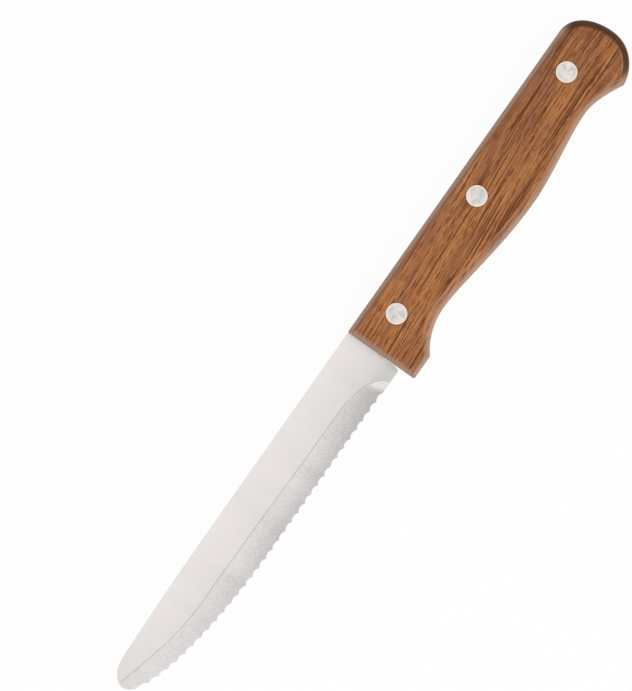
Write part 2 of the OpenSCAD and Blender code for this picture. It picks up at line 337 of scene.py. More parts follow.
def vector_calc(tree, operation, *values):
    return add(tree, "VectorMath", enumerate(values), operation=operation).outputs[0]


def ramp(tree, value, low, high, at_low=0.0, at_high=1.0, soft=True):
    """A number that goes from at_low to at_high while a value goes from low to high, eased if soft."""
    ends = {"Value": value, "From Min": low, "From Max": high, "To Min": at_low, "To Max": at_high}
    return add(tree, "MapRange", ends, interpolation_type="SMOOTHSTEP" if soft else "LINEAR").outputs[0]


def swing(tree, texture, low, high):
    """A noise, whose values mostly lie between 0.3 and 0.7, spread from low to high."""
    return ramp(tree, texture, 0.3, 0.7, low, high, soft=False)


def noise(tree, place, stretch, detail, roughness=0.5, scale=1.0):
    """The outputs of a noise over a place that is multiplied along each axis first."""
    return add(tree, "TexNoise", {"Vector": vector_calc(tree, "MULTIPLY", place, stretch), "Scale": scale,
                                  "Detail": detail, "Roughness": roughness}).outputs


def tint(tree, share, colour, other):
    """A colour that a share turns into another, which is given as three numbers."""
    start = colour if isinstance(colour, bpy.types.NodeSocket) else (*colour, 1)
    return add(tree, "Mix", {"Factor": share, "A": start, "B": (*other, 1)},
               data_type="RGBA").outputs["Result"]


def finish_material(name):
    """A new material and the tree it starts from, with its surface still to be linked."""
    material = bpy.data.materials.new(name)
    material.use_nodes = True
    material.node_tree.nodes.clear()
    return material, material.node_tree


def new_group(name, inputs, outputs):
    """An empty node group with named sockets, each with a kind and, for an input, its value."""
    group = bpy.data.node_groups.new(name, "ShaderNodeTree")
    for title, kind, value in inputs:
        socket = group.interface.new_socket(title, in_out="INPUT", socket_type="NodeSocket" + kind)
        socket.default_value = value
    for title, kind in outputs:
        group.interface.new_socket(title, in_out="OUTPUT", socket_type="NodeSocket" + kind)
    return group, group.nodes.new("NodeGroupInput").outputs, group.nodes.new("NodeGroupOutput").inputs


# Fine marks of a belt or a wheel: short scratches across the edge, in a few widths, over soft bands
scratches, marks_in, marks_out = new_group(
    "wheel_marks",
    [("Place", "Vector", (0, 0, 0)), ("Fineness", "Float", 3.0), ("Length", "Float", 6.0)],
    [("Marks", "Float"), ("Bands", "Float")])
per_length = calc(scratches, "DIVIDE", 1.0, marks_in["Length"])
mark_run = add(scratches, "CombineXYZ", {"X": marks_in["Fineness"], "Y": per_length, "Z": 1.0}).outputs[0]
fine = noise(scratches, marks_in["Place"], mark_run, 5.0, 0.72, scale=1.6)
wide = noise(scratches, marks_in["Place"], (0.16, 0.03, 0.1), 2.0)
scratches.links.new(fine["Fac"], marks_out["Marks"])
scratches.links.new(wide["Fac"], marks_out["Bands"])

# Where the steel's painted shade and highlight change, in distances from the edge and along it from the
# handle
near_edge_w = 6.5
edge_fade = (55.0, 105.0)
handle_stretch = (2.0, 40.0)
handle_shade = 1.8
runout_slant = -0.3
runout_highlight_span = (6.0, 8.2)
runout_shade_span = (11.0, 30.0)

rough_spread = 0.04
scratch_h = 0.02 * mm


def steel(name, light, dark, tone, roughness, fineness, mark_depth, mark_tone=0.2, band_tone=0.2, mark_l=7.0,
          fall_shade=0.0, edge_shade=0.0, runout_shade=0.0, end_highlight=0.0):
    """Stainless steel with its wheel marks, between a light and a dark colour. It lies tone of the way to the
    dark one, and painted shade takes it farther by fall_shade from the spine to the edge, more so near the
    handle, by edge_shade close to the edge, less so towards the tip, and by runout_shade where the wheel
    leaves the blade. A painted highlight makes the very end of the bevel paler by end_highlight."""
    material, tree = finish_material(name)
    place = add(tree, "Attribute", attribute_name="grind").outputs["Vector"]
    marks = add(tree, "Group", {"Place": place, "Fineness": fineness, "Length": mark_l},
                node_tree=scratches).outputs
    along, above, _ = add(tree, "SeparateXYZ", {0: place}).outputs
    # Painted shade: darker close to the edge, less so towards the tip, and darker from the spine to the edge,
    # more so near the handle
    near_edge = ramp(tree, above, 0.0, near_edge_w, edge_shade, 0.0)
    by_tip = ramp(tree, along, *edge_fade, 1.0, 0.0, soft=False)
    edge_part = calc(tree, "MULTIPLY_ADD", near_edge, by_tip, tone)
    fall = ramp(tree, above, 0.0, blade_w, fall_shade, 0.0, soft=False)
    by_handle = ramp(tree, along, *handle_stretch, handle_shade, 1.0)
    fallen = calc(tree, "MULTIPLY_ADD", fall, by_handle, edge_part)

    # A painted highlight makes a pale wedge where the wheel runs out at the end of the bevel, and painted
    # shade darkens the stretch in front of it
    from_end = calc(tree, "MULTIPLY_ADD", above, runout_slant, along)
    wedge = ramp(tree, from_end, *runout_highlight_span, 1.0 - end_highlight, 1.0)
    fade = ramp(tree, from_end, *runout_shade_span, runout_shade, 0.0)
    with_runout = times(tree, calc(tree, "ADD", fallen, fade), wedge)
    spread = swing(tree, marks["Marks"], -mark_tone, mark_tone)
    bands = swing(tree, marks["Bands"], -band_tone, band_tone)
    share = calc(tree, "ADD", calc(tree, "ADD", bands, spread), with_runout, clamp=True)
    rough = swing(tree, marks["Marks"], roughness - rough_spread, roughness + rough_spread)
    bump = add(tree, "Bump", {"Strength": mark_depth, "Distance": scratch_h, "Height": marks["Marks"]})
    metal = add(tree, "BsdfPrincipled", {"Base Color": tint(tree, share, light, dark), "Metallic": 1.0,
                                         "Roughness": rough, "Normal": bump.outputs[0]})
    add(tree, "OutputMaterial", {"Surface": metal.outputs[0]})
    return material


# The satin flats carry painted shade towards the edge and near the handle, the ground bevel painted shade
# near the edge and a painted highlight and shade where the wheel runs out
satin_steel = steel("steel_satin", (0.862, 0.812, 0.795), (0.635, 0.62, 0.585), tone=0.11, roughness=0.30,
                    fineness=2.2, mark_depth=0.03, mark_tone=0.08, band_tone=0.08, fall_shade=0.45,
                    edge_shade=0.45)
ground_steel = steel("steel_ground_bevel", (0.82, 0.785, 0.775), (0.50, 0.48, 0.475), tone=0.225,
                     roughness=0.36, fineness=3.2, mark_depth=0.2, mark_tone=0.4, band_tone=0.11, mark_l=1.5,
                     edge_shade=0.5, runout_shade=0.3, end_highlight=1.0)
line_steel = steel("steel_grind_line", (0.61, 0.58, 0.57), (0.48, 0.455, 0.445), tone=0.5, roughness=0.42,
                   fineness=3.2, mark_depth=0.2, mark_tone=0.3, band_tone=0.3)
flute_steel = steel("steel_scallops", (0.74, 0.71, 0.70), (0.62, 0.59, 0.58), tone=0.5, roughness=0.25,
                    fineness=4.0, mark_depth=0.2)
cut_steel = steel("steel_cut_edge", (0.52, 0.50, 0.49), (0.42, 0.40, 0.39), tone=0.5, roughness=0.40,
                  fineness=4.0, mark_depth=0.1)
blade_finishes = [satin_steel, ground_steel, line_steel, flute_steel, cut_steel]
satin, ground, lined, fluted, cut = range(len(blade_finishes))

bm = bmesh.new()
grind = bm.verts.layers.float_vector.new("grind")
upper_line = [p for p, _, _ in blade_outline]
arcs = [math.radians(90 * i / round_steps) for i in range(round_steps + 1)]
profile = [(spine_round * (1 - math.sin(a)), spine_round * (1 - math.cos(a))) for a in arcs]
insets = [inset(upper_line, d) for d, _ in profile]
blade_rings = []
levels = 2 * len(profile)
for level in range(levels):
    from_top = level >= len(profile)
    step = levels - 1 - level if from_top else level
    drop = profile[step][1]
    ring = []
    for i, (upper, lower, scalloped) in enumerate(blade_outline):
        if scalloped:
            share = level / (levels - 1)
            top = upper_face(upper.x, upper.y)
            spot = lower.lerp(upper, share)
            ring.append(bm.verts.new((spot.x, spot.y, -face_z + share * (top + face_z))))
        else:
            spot = insets[step][i]
            top = upper_face(insets[0][i].x, insets[0][i].y)
            ring.append(bm.verts.new((spot.x, spot.y, top - drop if from_top else drop - face_z)))
    blade_rings.append(ring)
wall_faces = wall(bm, blade_rings)
for number, face in enumerate(wall_faces):
    i = number % len(blade_outline)
    beside_scallop = blade_outline[i][2] or blade_outline[(i + 1) % len(blade_outline)][2]
    face.material_index = fluted if beside_scallop else cut

hole_tops = [circle(bm, p, tang_hole_r, face_z, hole_sides) for p in rivet_places]
hole_feet = [circle(bm, p, tang_hole_r, -face_z, hole_sides) for p in rivet_places]
for top, foot in zip(hole_tops, hole_feet):
    wall(bm, [top, foot])

# The grind line and a thin band under it, both tied to vertices of the outline at their two ends
rear_gap = 0.1
fore_gap = 0.25
edge_gap = 0.5
top_ring = blade_rings[-1]
start = min(top_ring, key=lambda v: (v.co.xy - Vector((bevel_start_x, edge_y + spine_round))).length)
start_i = top_ring.index(start)
end_i = min(range(len(top_ring) // 2, len(top_ring)),
            key=lambda i: abs(top_ring[i].co.y - np.interp(top_ring[i].co.x, grind_xs, grind_ys)))
end = top_ring[end_i]
inner_line = [p for p in grind_line if p.x < start.co.x - rear_gap and p.x > end.co.x + fore_gap
              and p.y > edge_height(p.x) + edge_gap]
line_verts = [bm.verts.new((p.x, p.y, face_z)) for p in inner_line]
under = []
for i, p in enumerate(inner_line):
    before = inner_line[max(i - 1, 0)]
    after = inner_line[min(i + 1, len(inner_line) - 1)]
    along = (after - before).normalized()
    q = p + grind_line_w * Vector((-along.y, along.x))
    under.append(bm.verts.new((q.x, q.y, upper_face(q.x, q.y))))
bevel_chain = top_ring[end_i:] + top_ring[:start_i + 1] + under
line_chain = [end] + list(reversed(under)) + [start] + line_verts

# Loose vertices inside the bevel keep its long faces from showing in the shading
bevel_end_gap = 0.6
bevel_side_gap = 0.35
bevel_row_h = 0.9
bevel_points = []
for x in np.arange(end.co.x + bevel_end_gap, bevel_start_x - bevel_end_gap, tooth_pitch / 4):
    low = edge_height(x) + tooth_depth + bevel_side_gap
    top = float(np.interp(x, grind_xs, grind_ys)) - grind_line_w - bevel_side_gap
    rows = max(1, int((top - low) / bevel_row_h))
    bevel_points.extend((x, low + (top - low) * (row + 0.5) / rows) for row in range(rows) if top > low)
top_faces = sheet(bm, [top_ring] + hole_tops, [bevel_chain, line_chain], bevel_points, upper_face, 1)
for face, owners in top_faces:
    face.material_index = lined if 1 in owners else ground if 0 in owners else satin
lower_faces = sheet(bm, [blade_rings[0]] + hole_feet, [], [], lambda x, y: -face_z, -1)
crease_border([face for face, _ in top_faces])
crease_border([face for face, _ in lower_faces])
line_set = set(line_verts) | {start, end}
for e in bm.edges:
    if e.verts[0] in line_set and e.verts[1] in line_set:
        e.smooth = False

# Every vertex keeps how far from the handle it lies along the edge and how far from the edge, for the marks
edge_path_xs = np.linspace(-blade_l, shoulder_x, edge_path_points)
edge_path = np.array([(x, edge_height(x)) for x in edge_path_xs])
edge_run = np.concatenate([[0], np.cumsum(np.hypot(*np.diff(edge_path, axis=0).T))])
for v in bm.verts:
    away = np.hypot(edge_path[:, 0] - v.co.x, edge_path[:, 1] - v.co.y)
    nearest = int(np.argmin(away))
    beyond = max(0.0, v.co.x - shoulder_x)
    v[grind] = (float(edge_run[-1] - edge_run[nearest]) - beyond, float(away[nearest]), v.co.z)

blade = piece("steak_blade", bm, blade_finishes)
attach(blade, "root")
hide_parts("blade")

# The handle. One piece of straight-grained hardwood, cut to outline, with every edge of its two flat sides
# run round by a cutter and its front corners eased by sanding. A slot sawn in from the front and the spine
# takes the tang, three stepped bores take the rivets, and a clear lacquer covers it.

handle_l = (handle_high.x - handle_low.x) / mm
half_t = (handle_high.z - handle_low.z) / 2 / mm
edge_r = 1.8
corner_r = 0.5
guard_front = Vector((0, -21.35))
guard_rear = Vector((7.2, -21.35))
neck = Vector((19.4, -16.9))
belly = Vector((56, -20.4))
rear_neck = Vector((handle_l - 22, -17.9))
hook = Vector((handle_l - 9.9, -21.9))
butt = Vector((handle_l, -11.5))
butt_reach = 0.6
spine_end = Vector((handle_l - 8.1, 0))

slot_play = 0.05
slot_half = sheet_t / 2 + slot_play
slot_end_gap = 0.3
slot_end_x = tang_end_x + slot_end_gap
slot_low_y = tang_low_y - slot_end_gap
slot_corner_r = tang_corner_r + slot_end_gap
head_r = 2.9
head_h = 1.8
head_play = 0.1
bore_r = head_r + head_play
shank_bore_r = 1.65
rim_ease = 0.07

edge_steps = 14
corner_steps = 5
butt_steps = 20
bend_steps = 12
wave_steps = 24
bore_sides = 72


def part_way(a, b, along, across):
    return Vector((along * (b.x - a.x), across * (b.y - a.y)))


def wave(a, b, leave, reach):
    """A curve that leaves a and reaches b level."""
    return cubic(a, Vector((a.x + leave * (b.x - a.x), a.y)), Vector((b.x - reach * (b.x - a.x), b.y)), b,
                 wave_steps)


wood_outline = cubic(butt, butt + Vector((0, -butt_reach * butt.y)),
                     spine_end + Vector((butt_reach * (butt.x - spine_end.x), 0)), spine_end, butt_steps)
wood_outline += [spine_end, Vector((slot_end_x, 0))]
spine_corner = len(wood_outline)
wood_outline += [Vector((0, 0)), Vector((0, slot_low_y))]
guard_corner = len(wood_outline)
wood_outline += [guard_front]
wood_outline += cubic(guard_rear, guard_rear + part_way(guard_rear, neck, along=0.21, across=0.52),
                      neck - part_way(guard_rear, neck, along=0.40, across=0), neck, bend_steps)
wood_outline += wave(neck, belly, leave=0.24, reach=0.41)
wood_outline += wave(belly, rear_neck, leave=0.34, reach=0.28)
wood_outline += cubic(rear_neck, rear_neck + part_way(rear_neck, hook, along=0.36, across=0),
                      hook - part_way(rear_neck, hook, along=0.26, across=0.41), hook, bend_steps)
wood_outline += cubic(hook, hook + part_way(hook, butt, along=0.46, across=0.03),
                      butt - Vector((0, butt_reach * (butt.y - hook.y))), butt, bend_steps)


def eased_ring(d):
    """The outline moved inwards by d, with its two front corners eased."""
    points = []
    moved = inset(wood_outline, d)
    for i, p in enumerate(moved):
        if i in (spine_corner, guard_corner):
            back = (moved[i - 1] - p).normalized() * corner_r
            on = (moved[i + 1] - p).normalized() * corner_r
            points += quarter(p + back + on, -on, -back, corner_steps)
        else:
            points.append(p)
    return points


def wood_ring(bm, d, z):
    return [bm.verts.new((p.x, p.y, z)) for p in eased_ring(d)]


bm = bmesh.new()
rim = bm.verts.layers.float_vector.new("rim")
turns = [math.radians(90 * i / edge_steps) for i in range(edge_steps + 1)]
round_profile = [(0, slot_half)]
round_profile += [(edge_r * (1 - math.cos(a)), half_t - edge_r * (1 - math.sin(a))) for a in turns]
upper_rings = [wood_ring(bm, d, z) for d, z in round_profile]
lower_rings = [wood_ring(bm, d, -z) for d, z in reversed(round_profile)]
wall(bm, lower_rings)
wall(bm, upper_rings)

# Between the two halves the wall stands only where the slot doesn't open it
slot_first = spine_corner - 1
slot_last = spine_corner + corner_steps + 1
below, above = lower_rings[-1], upper_rings[0]
for i in range(len(above)):
    if not slot_first <= i < slot_last:
        j = (i + 1) % len(above)
        bm.faces.new((below[i], below[j], above[j], above[i]))
slot_path = quarter(Vector((slot_end_x - slot_corner_r, slot_low_y + slot_corner_r)),
                    Vector((0, -slot_corner_r)), Vector((slot_corner_r, 0)), tang_corner_steps)
slot_sides = []
for ring, z in ((below, -slot_half), (above, slot_half)):
    path = [bm.verts.new((p.x, p.y, z)) for p in slot_path]
    slot_sides.append([ring[slot_last]] + path + [ring[slot_first]])
wall(bm, [slot_sides[1], slot_sides[0]], closed=False)

# Both flat sides with their stepped bores, and three rows of vertices that keep the shading even at the rim
rim_rows = (0.4, 0.9, 1.6)
row_share = 0.7
bore_margin = 0.4
bore_steps = ((bore_r + rim_ease, half_t), (bore_r, half_t - rim_ease), (bore_r, half_t - head_h),
              (shank_bore_r, half_t - head_h), (shank_bore_r, slot_half))
for sign, ring, slot_ring, side in ((1, upper_rings[-1], above, slot_sides[1]),
                                    (-1, lower_rings[0], below, slot_sides[0])):
    rims, shanks = [], []
    for centre in rivet_places:
        loops = [circle(bm, centre, r, sign * z, bore_sides) for r, z in bore_steps]
        wall(bm, loops if sign > 0 else loops[::-1])
        rims.append(loops[0])
        shanks.append(loops[-1])
    border = [v.co.xy for v in ring]
    near_rim = [p for d in rim_rows for p in eased_ring(edge_r + d)
                if min((p - q).length for q in border) > row_share * d
                and min((p - q).length for q in rivet_places) > bore_r + bore_margin]
    flat = sheet(bm, [ring] + rims, [], near_rim, lambda x, y, z=sign * half_t: z, sign)
    crease_border([face for face, _ in flat])
    cheek = slot_ring[slot_first:slot_last + 1] + side[1:-1]
    sheet(bm, [cheek] + shanks, [], [], None, -sign)

# Every vertex keeps its distance from the outline, and the way in which the nearest outline faces
rim_points = np.array(eased_ring(0))
rim_next = np.roll(rim_points, -1, axis=0)
rim_run = rim_next - rim_points
rim_out = np.stack([rim_run[:, 1], -rim_run[:, 0]], axis=1) / np.hypot(*rim_run.T)[:, None]
for v in bm.verts:
    spot = np.array(v.co.xy)
    share = np.clip(((spot - rim_points) * rim_run).sum(1) / (rim_run ** 2).sum(1), 0, 1)
    away = np.hypot(*(rim_points + share[:, None] * rim_run - spot).T)
    nearest = int(np.argmin(away))
    v[rim] = (float(away[nearest]), *(float(a) for a in rim_out[nearest]))

# Pores are thin spindles along x, each in a cell of its own, and a share of the cells has none
grain, grain_in, grain_out = new_group(
    "grain_pores",
    [("Place", "Vector", (0, 0, 0)), ("Length", "Float", 10.0), ("Width", "Float", 0.45),
     ("Size", "Float", 0.3), ("Share", "Float", 0.6), ("Faintest", "Float", 0.3)],
    [("Pores", "Float")])
shrink_x = calc(grain, "DIVIDE", 1.0, grain_in["Length"])
shrink_y = calc(grain, "DIVIDE", 1.0, grain_in["Width"])
shrink_z = times(grain, shrink_y, 0.55)
shrink = add(grain, "CombineXYZ", {"X": shrink_x, "Y": shrink_y, "Z": shrink_z}).outputs[0]
cell_place = vector_calc(grain, "MULTIPLY", grain_in["Place"], shrink)
cells = add(grain, "TexVoronoi", {"Vector": cell_place, "Scale": 1.0, "Randomness": 1.0},
            feature="F1", distance="EUCLIDEAN").outputs
spindle = ramp(grain, cells["Distance"], times(grain, grain_in["Size"], 0.75), grain_in["Size"], 1.0, 0.0)
chance, depth, _ = add(grain, "SeparateXYZ", {0: cells["Color"]}).outputs
filled = calc(grain, "LESS_THAN", chance, grain_in["Share"])
weight = ramp(grain, depth, 0.0, 1.0, grain_in["Faintest"], 1.0, soft=False)
grain.links.new(times(grain, times(grain, spindle, filled), weight), grain_out["Pores"])

light_brown = (0.530, 0.212, 0.068)
mid_brown = (0.398, 0.143, 0.041)
dark_brown = (0.258, 0.080, 0.016)
grey_brown = (0.268, 0.102, 0.046)
pore_brown = (0.122, 0.027, 0.003)
# The five colours below are painted light: a sheen on the rounded edges, shade on the spine's arris,
# highlights on two arrises and shade on the butt's rim
rim_sheen_brown = (0.455, 0.300, 0.220)
spine_shade_brown = (0.150, 0.045, 0.018)
arris_highlight_brown = (0.560, 0.290, 0.150)
hook_highlight_brown = (0.450, 0.250, 0.150)
butt_shade_brown = (0.068, 0.014, 0.001)

pith = (0.0, 46.0, -30.0)
ring_w = 4.4
pore_h = 0.03 * mm

# Where the wood's painted shade and highlights lie. Strips are given from the outline, stretches from the
# front and the hook's depth from the spine line: where each starts and is full, and where it begins to fade
# and ends
spine_shade_strip = (0.75, 1.2, 1.35, 2.0)
arris_strip = (1.8, 2.15, 2.2, 2.75)
hook_strip = (1.55, 1.8, 1.8, 2.1)
arris_highlight_stretch = (8.0, 14.0, 66.0, 80.0)
hook_stretch = (89.0, 93.0)
hook_depth = (-14.5, -17.5)
butt_stretch = (85.0, 97.0)


def strip(tree, value, start, full, fading, end):
    """One between full and fading, and nothing before start and after end."""
    return times(tree, ramp(tree, value, start, full), ramp(tree, value, fading, end, 1.0, 0.0))


def lacquered_wood():
    """Mid-brown hardwood under clear lacquer, with a painted sheen that makes its rounded edges paler,
    painted shade on the arris of the spine and on the rim of the butt, and painted highlights on the arrises
    of the underside and the hook."""
    material, tree = finish_material("wood_lacquered")
    from_front = vector_calc(tree, "SUBTRACT", add(tree, "TexCoord").outputs["Object"], knife_origin)
    in_mm = add(tree, "VectorMath", {0: from_front, "Scale": 1 / mm}, operation="SCALE").outputs[0]
    x, y, _ = add(tree, "SeparateXYZ", {0: in_mm}).outputs

    # On its way back the grain climbs towards the spine, less and less, and it sways and wavers
    climb = ramp(tree, x, -20.0, 110.0, 0.0, -6.0)
    level = vector_calc(tree, "ADD", in_mm, add(tree, "CombineXYZ", {"Y": climb}).outputs[0])
    place = level
    for stretch, detail, reach in (((0.024, 0.07, 0.07), 1.0, 1.8), ((0.07, 0.3, 0.3), 2.0, 0.6)):
        aside = vector_calc(tree, "SUBTRACT", noise(tree, level, stretch, detail)["Color"], (0.5, 0.5, 0.5))
        place = vector_calc(tree, "MULTIPLY_ADD", aside, (0.0, reach, reach), place)

    # Growth rings about a pith far off to one side: crowded with pores first, denser wood after
    across = vector_calc(tree, "MULTIPLY", vector_calc(tree, "SUBTRACT", place, pith), (0.0, 1.0, 1.0))
    radius = add(tree, "VectorMath", {0: across}, operation="LENGTH").outputs["Value"]
    ring = calc(tree, "FRACT", calc(tree, "MULTIPLY_ADD", radius, 1 / ring_w, 0.15))
    early = ramp(tree, ring, 0.1, 0.75, 0.55, 0.0)
    patch = noise(tree, place, (0.035, 0.45, 0.45), 2.0)["Fac"]
    crowding = calc(tree, "ADD", early, calc(tree, "MULTIPLY_ADD", patch, 1.6, -0.45), clamp=True)

    # Long dark lines follow the levels of a drawn-out field, and come and go along it
    line_field = noise(tree, place, (0.02, 0.85, 0.85), 3.0, 0.65)["Fac"]
    off_level = calc(tree, "ABSOLUTE", calc(tree, "SUBTRACT", line_field, 0.5))
    line = ramp(tree, off_level, 0.01, 0.055, 1.0, 0.0)
    come = noise(tree, place, (0.035, 0.7, 0.7), 3.0)["Fac"]
    present = ramp(tree, come, 0.35, 0.6, soft=False)
    crowded = calc(tree, "MULTIPLY_ADD", crowding, 0.7, 0.3)
    lines = times(tree, times(tree, line, present), crowded)

    # Short pores in rows along these lines, long ones between them, and a few fine cracks
    row_pores = add(tree, "Group", {
        "Place": place, "Length": 3.2, "Width": 0.25, "Size": 0.53,
        "Share": calc(tree, "MULTIPLY_ADD", lines, 1.3, 0.22), "Faintest": 0.6}, node_tree=grain)
    long_pores = add(tree, "Group", {
        "Place": place, "Length": 22.0, "Width": 0.4, "Size": 0.45,
        "Share": calc(tree, "MULTIPLY_ADD", crowding, 0.65, 0.1), "Faintest": 0.15}, node_tree=grain)
    cracks = add(tree, "Group", {
        "Place": vector_calc(tree, "ADD", place, (7.0, 3.0, 5.0)), "Length": 44.0, "Width": 0.5, "Size": 0.43,
        "Share": times(tree, crowding, 0.65), "Faintest": 0.6}, node_tree=grain)
    pores = calc(tree, "MAXIMUM", long_pores.outputs[0], row_pores.outputs[0])
    deepest = calc(tree, "MAXIMUM", pores, cracks.outputs[0])
    dark = calc(tree, "ADD", deepest, times(tree, lines, 0.30), clamp=True)

    # The wood between them: broad bands, fibres and flecks, and broad stretches that are greyer
    band = noise(tree, place, (0.02, 0.4, 0.4), 4.0, 0.6)["Fac"]
    fibre = noise(tree, place, (0.07, 4.2, 4.2), 3.0, 0.8)["Fac"]
    fleck = noise(tree, place, (1.3, 4.2, 4.2), 2.0, 0.6)["Fac"]
    band_part = calc(tree, "MULTIPLY_ADD", band, 0.9, -1.65)
    fibre_part = calc(tree, "MULTIPLY_ADD", fibre, 2.3, band_part)
    browns = add(tree, "ValToRGB", {"Fac": calc(tree, "MULTIPLY_ADD", fleck, 1.35, fibre_part)})
    stops = browns.color_ramp.elements
    stops[0].position, stops[0].color = 0.1, (*dark_brown, 1)
    stops[1].position, stops[1].color = 0.9, (*light_brown, 1)
    stops.new(0.5).color = (*mid_brown, 1)
    hue = noise(tree, place, (0.04, 0.35, 0.35), 3.0)["Fac"]
    body = tint(tree, ramp(tree, hue, 0.45, 0.65, 0.0, 0.65, soft=False), browns.outputs["Color"], grey_brown)
    pored = tint(tree, dark, body, pore_brown)

    # Painted sheen makes the rounded edges paler, and painted shade darkens a line on the arris of the spine
    rim_place = add(tree, "Attribute", attribute_name="rim").outputs["Vector"]
    from_rim, facing_back, facing_up = add(tree, "SeparateXYZ", {0: rim_place}).outputs
    rim_sheen = ramp(tree, from_rim, 0.3, 2.1, 0.92, 0.0)
    off_wall = ramp(tree, from_rim, 0.0, 0.3, 0.3, 1.0, soft=False)
    covering = times(tree, off_wall, swing(tree, fibre, 0.6, 1.25))
    pale = tint(tree, times(tree, rim_sheen, covering), pored, rim_sheen_brown)
    upwards = ramp(tree, facing_up, 0.5, 0.95, 0.0, 0.5)
    spine_shade = times(tree, strip(tree, from_rim, *spine_shade_strip), upwards)
    shaded = tint(tree, spine_shade, pale, spine_shade_brown)

    # Painted highlights lie on the arris of the underside between the guard and the rear neck, and on that of
    # the hook
    downwards = ramp(tree, facing_up, -0.6, -0.95, 0.0, 0.75)
    below = times(tree, downwards, strip(tree, x, *arris_highlight_stretch))
    arris_highlight = times(tree, strip(tree, from_rim, *arris_strip), present)
    edged = tint(tree, times(tree, arris_highlight, below), shaded, arris_highlight_brown)
    # Painted highlight on the arris of the hook
    hook_arris = times(tree, ramp(tree, y, *hook_depth, 0.0, 0.65), ramp(tree, x, *hook_stretch))
    hook_highlight = times(tree, strip(tree, from_rim, *hook_strip), hook_arris)

    # Painted shade darkens the rounded rim of the butt, most where the outline faces straight back
    backwards = ramp(tree, facing_back, 0.0, 0.6)
    at_rim = ramp(tree, from_rim, 1.3, 2.4, 0.99, 0.0)
    beyond_rim = ramp(tree, from_rim, 2.0, 5.0, 0.24, 0.0)
    butt_shade = calc(tree, "MAXIMUM", at_rim, beyond_rim)
    patchy = times(tree, butt_shade, ramp(tree, fleck, 0.35, 0.65, 0.87, 1.05, soft=False))
    rear_rim = times(tree, ramp(tree, x, *butt_stretch), patchy)
    butt_shaded = tint(tree, times(tree, backwards, rear_rim), edged, butt_shade_brown)

    height = calc(tree, "MULTIPLY_ADD", dark, -1.0, fibre)
    bump = add(tree, "Bump", {"Strength": 0.3, "Distance": pore_h, "Height": height})
    skin = add(tree, "BsdfPrincipled", {
        "Base Color": tint(tree, hook_highlight, butt_shaded, hook_highlight_brown), "IOR": 1.45,
        "Roughness": swing(tree, fibre, 0.34, 0.46), "Specular IOR Level": 0.12, "Coat Weight": 0.25,
        "Coat Roughness": 0.14, "Coat IOR": 1.5, "Normal": bump.outputs[0]})
    add(tree, "OutputMaterial", {"Surface": skin.outputs[0]})
    return material


handle = piece("wooden_handle", bm, [lacquered_wood()], crease=24)
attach(handle, "root")
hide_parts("handle")

# The three rivets. Each is an aluminium pair: a head with a hollow shank from above, and a head with a pin
# that is pressed into it from below. Both heads are turned flush with the wood, which leaves fine rings.

seat_z = half_t - head_h
head_chamfer = 0.12
head_crown = 0.035
shank_r = 1.6
shank_end_gap = 0.4
shank_l = 2 * seat_z - shank_end_gap
pin_r = 1.1
pin_play = 0.02
pin_hole_r = pin_r + pin_play
pin_chamfer = 0.1
face_radii = (0, 0.6, 1.2, 1.8, 2.3, 2.6)
chamfer_step = 0.3 * head_chamfer
turned_ring_h = 0.01 * mm
rivet_sides = 96

grey_metal = (0.580, 0.585, 0.575)
pale_metal = (0.845, 0.80, 0.77)
warm_metal = (0.90, 0.73, 0.625)


def turned(bm, centre, profile):
    """A body of revolution about z from pairs of radius and height, from its axis back to its axis."""
    rings = [circle(bm, centre, r, z, rivet_sides) for r, z in profile[1:-1]]
    wall(bm, rings)
    for ring, (_, z), turn in ((rings[0], profile[0], -1), (rings[-1], profile[-1], 1)):
        pole = bm.verts.new((centre.x, centre.y, z))
        for i in range(rivet_sides):
            corners = (ring[i], ring[(i + 1) % rivet_sides], pole)
            bm.faces.new(corners[::turn])


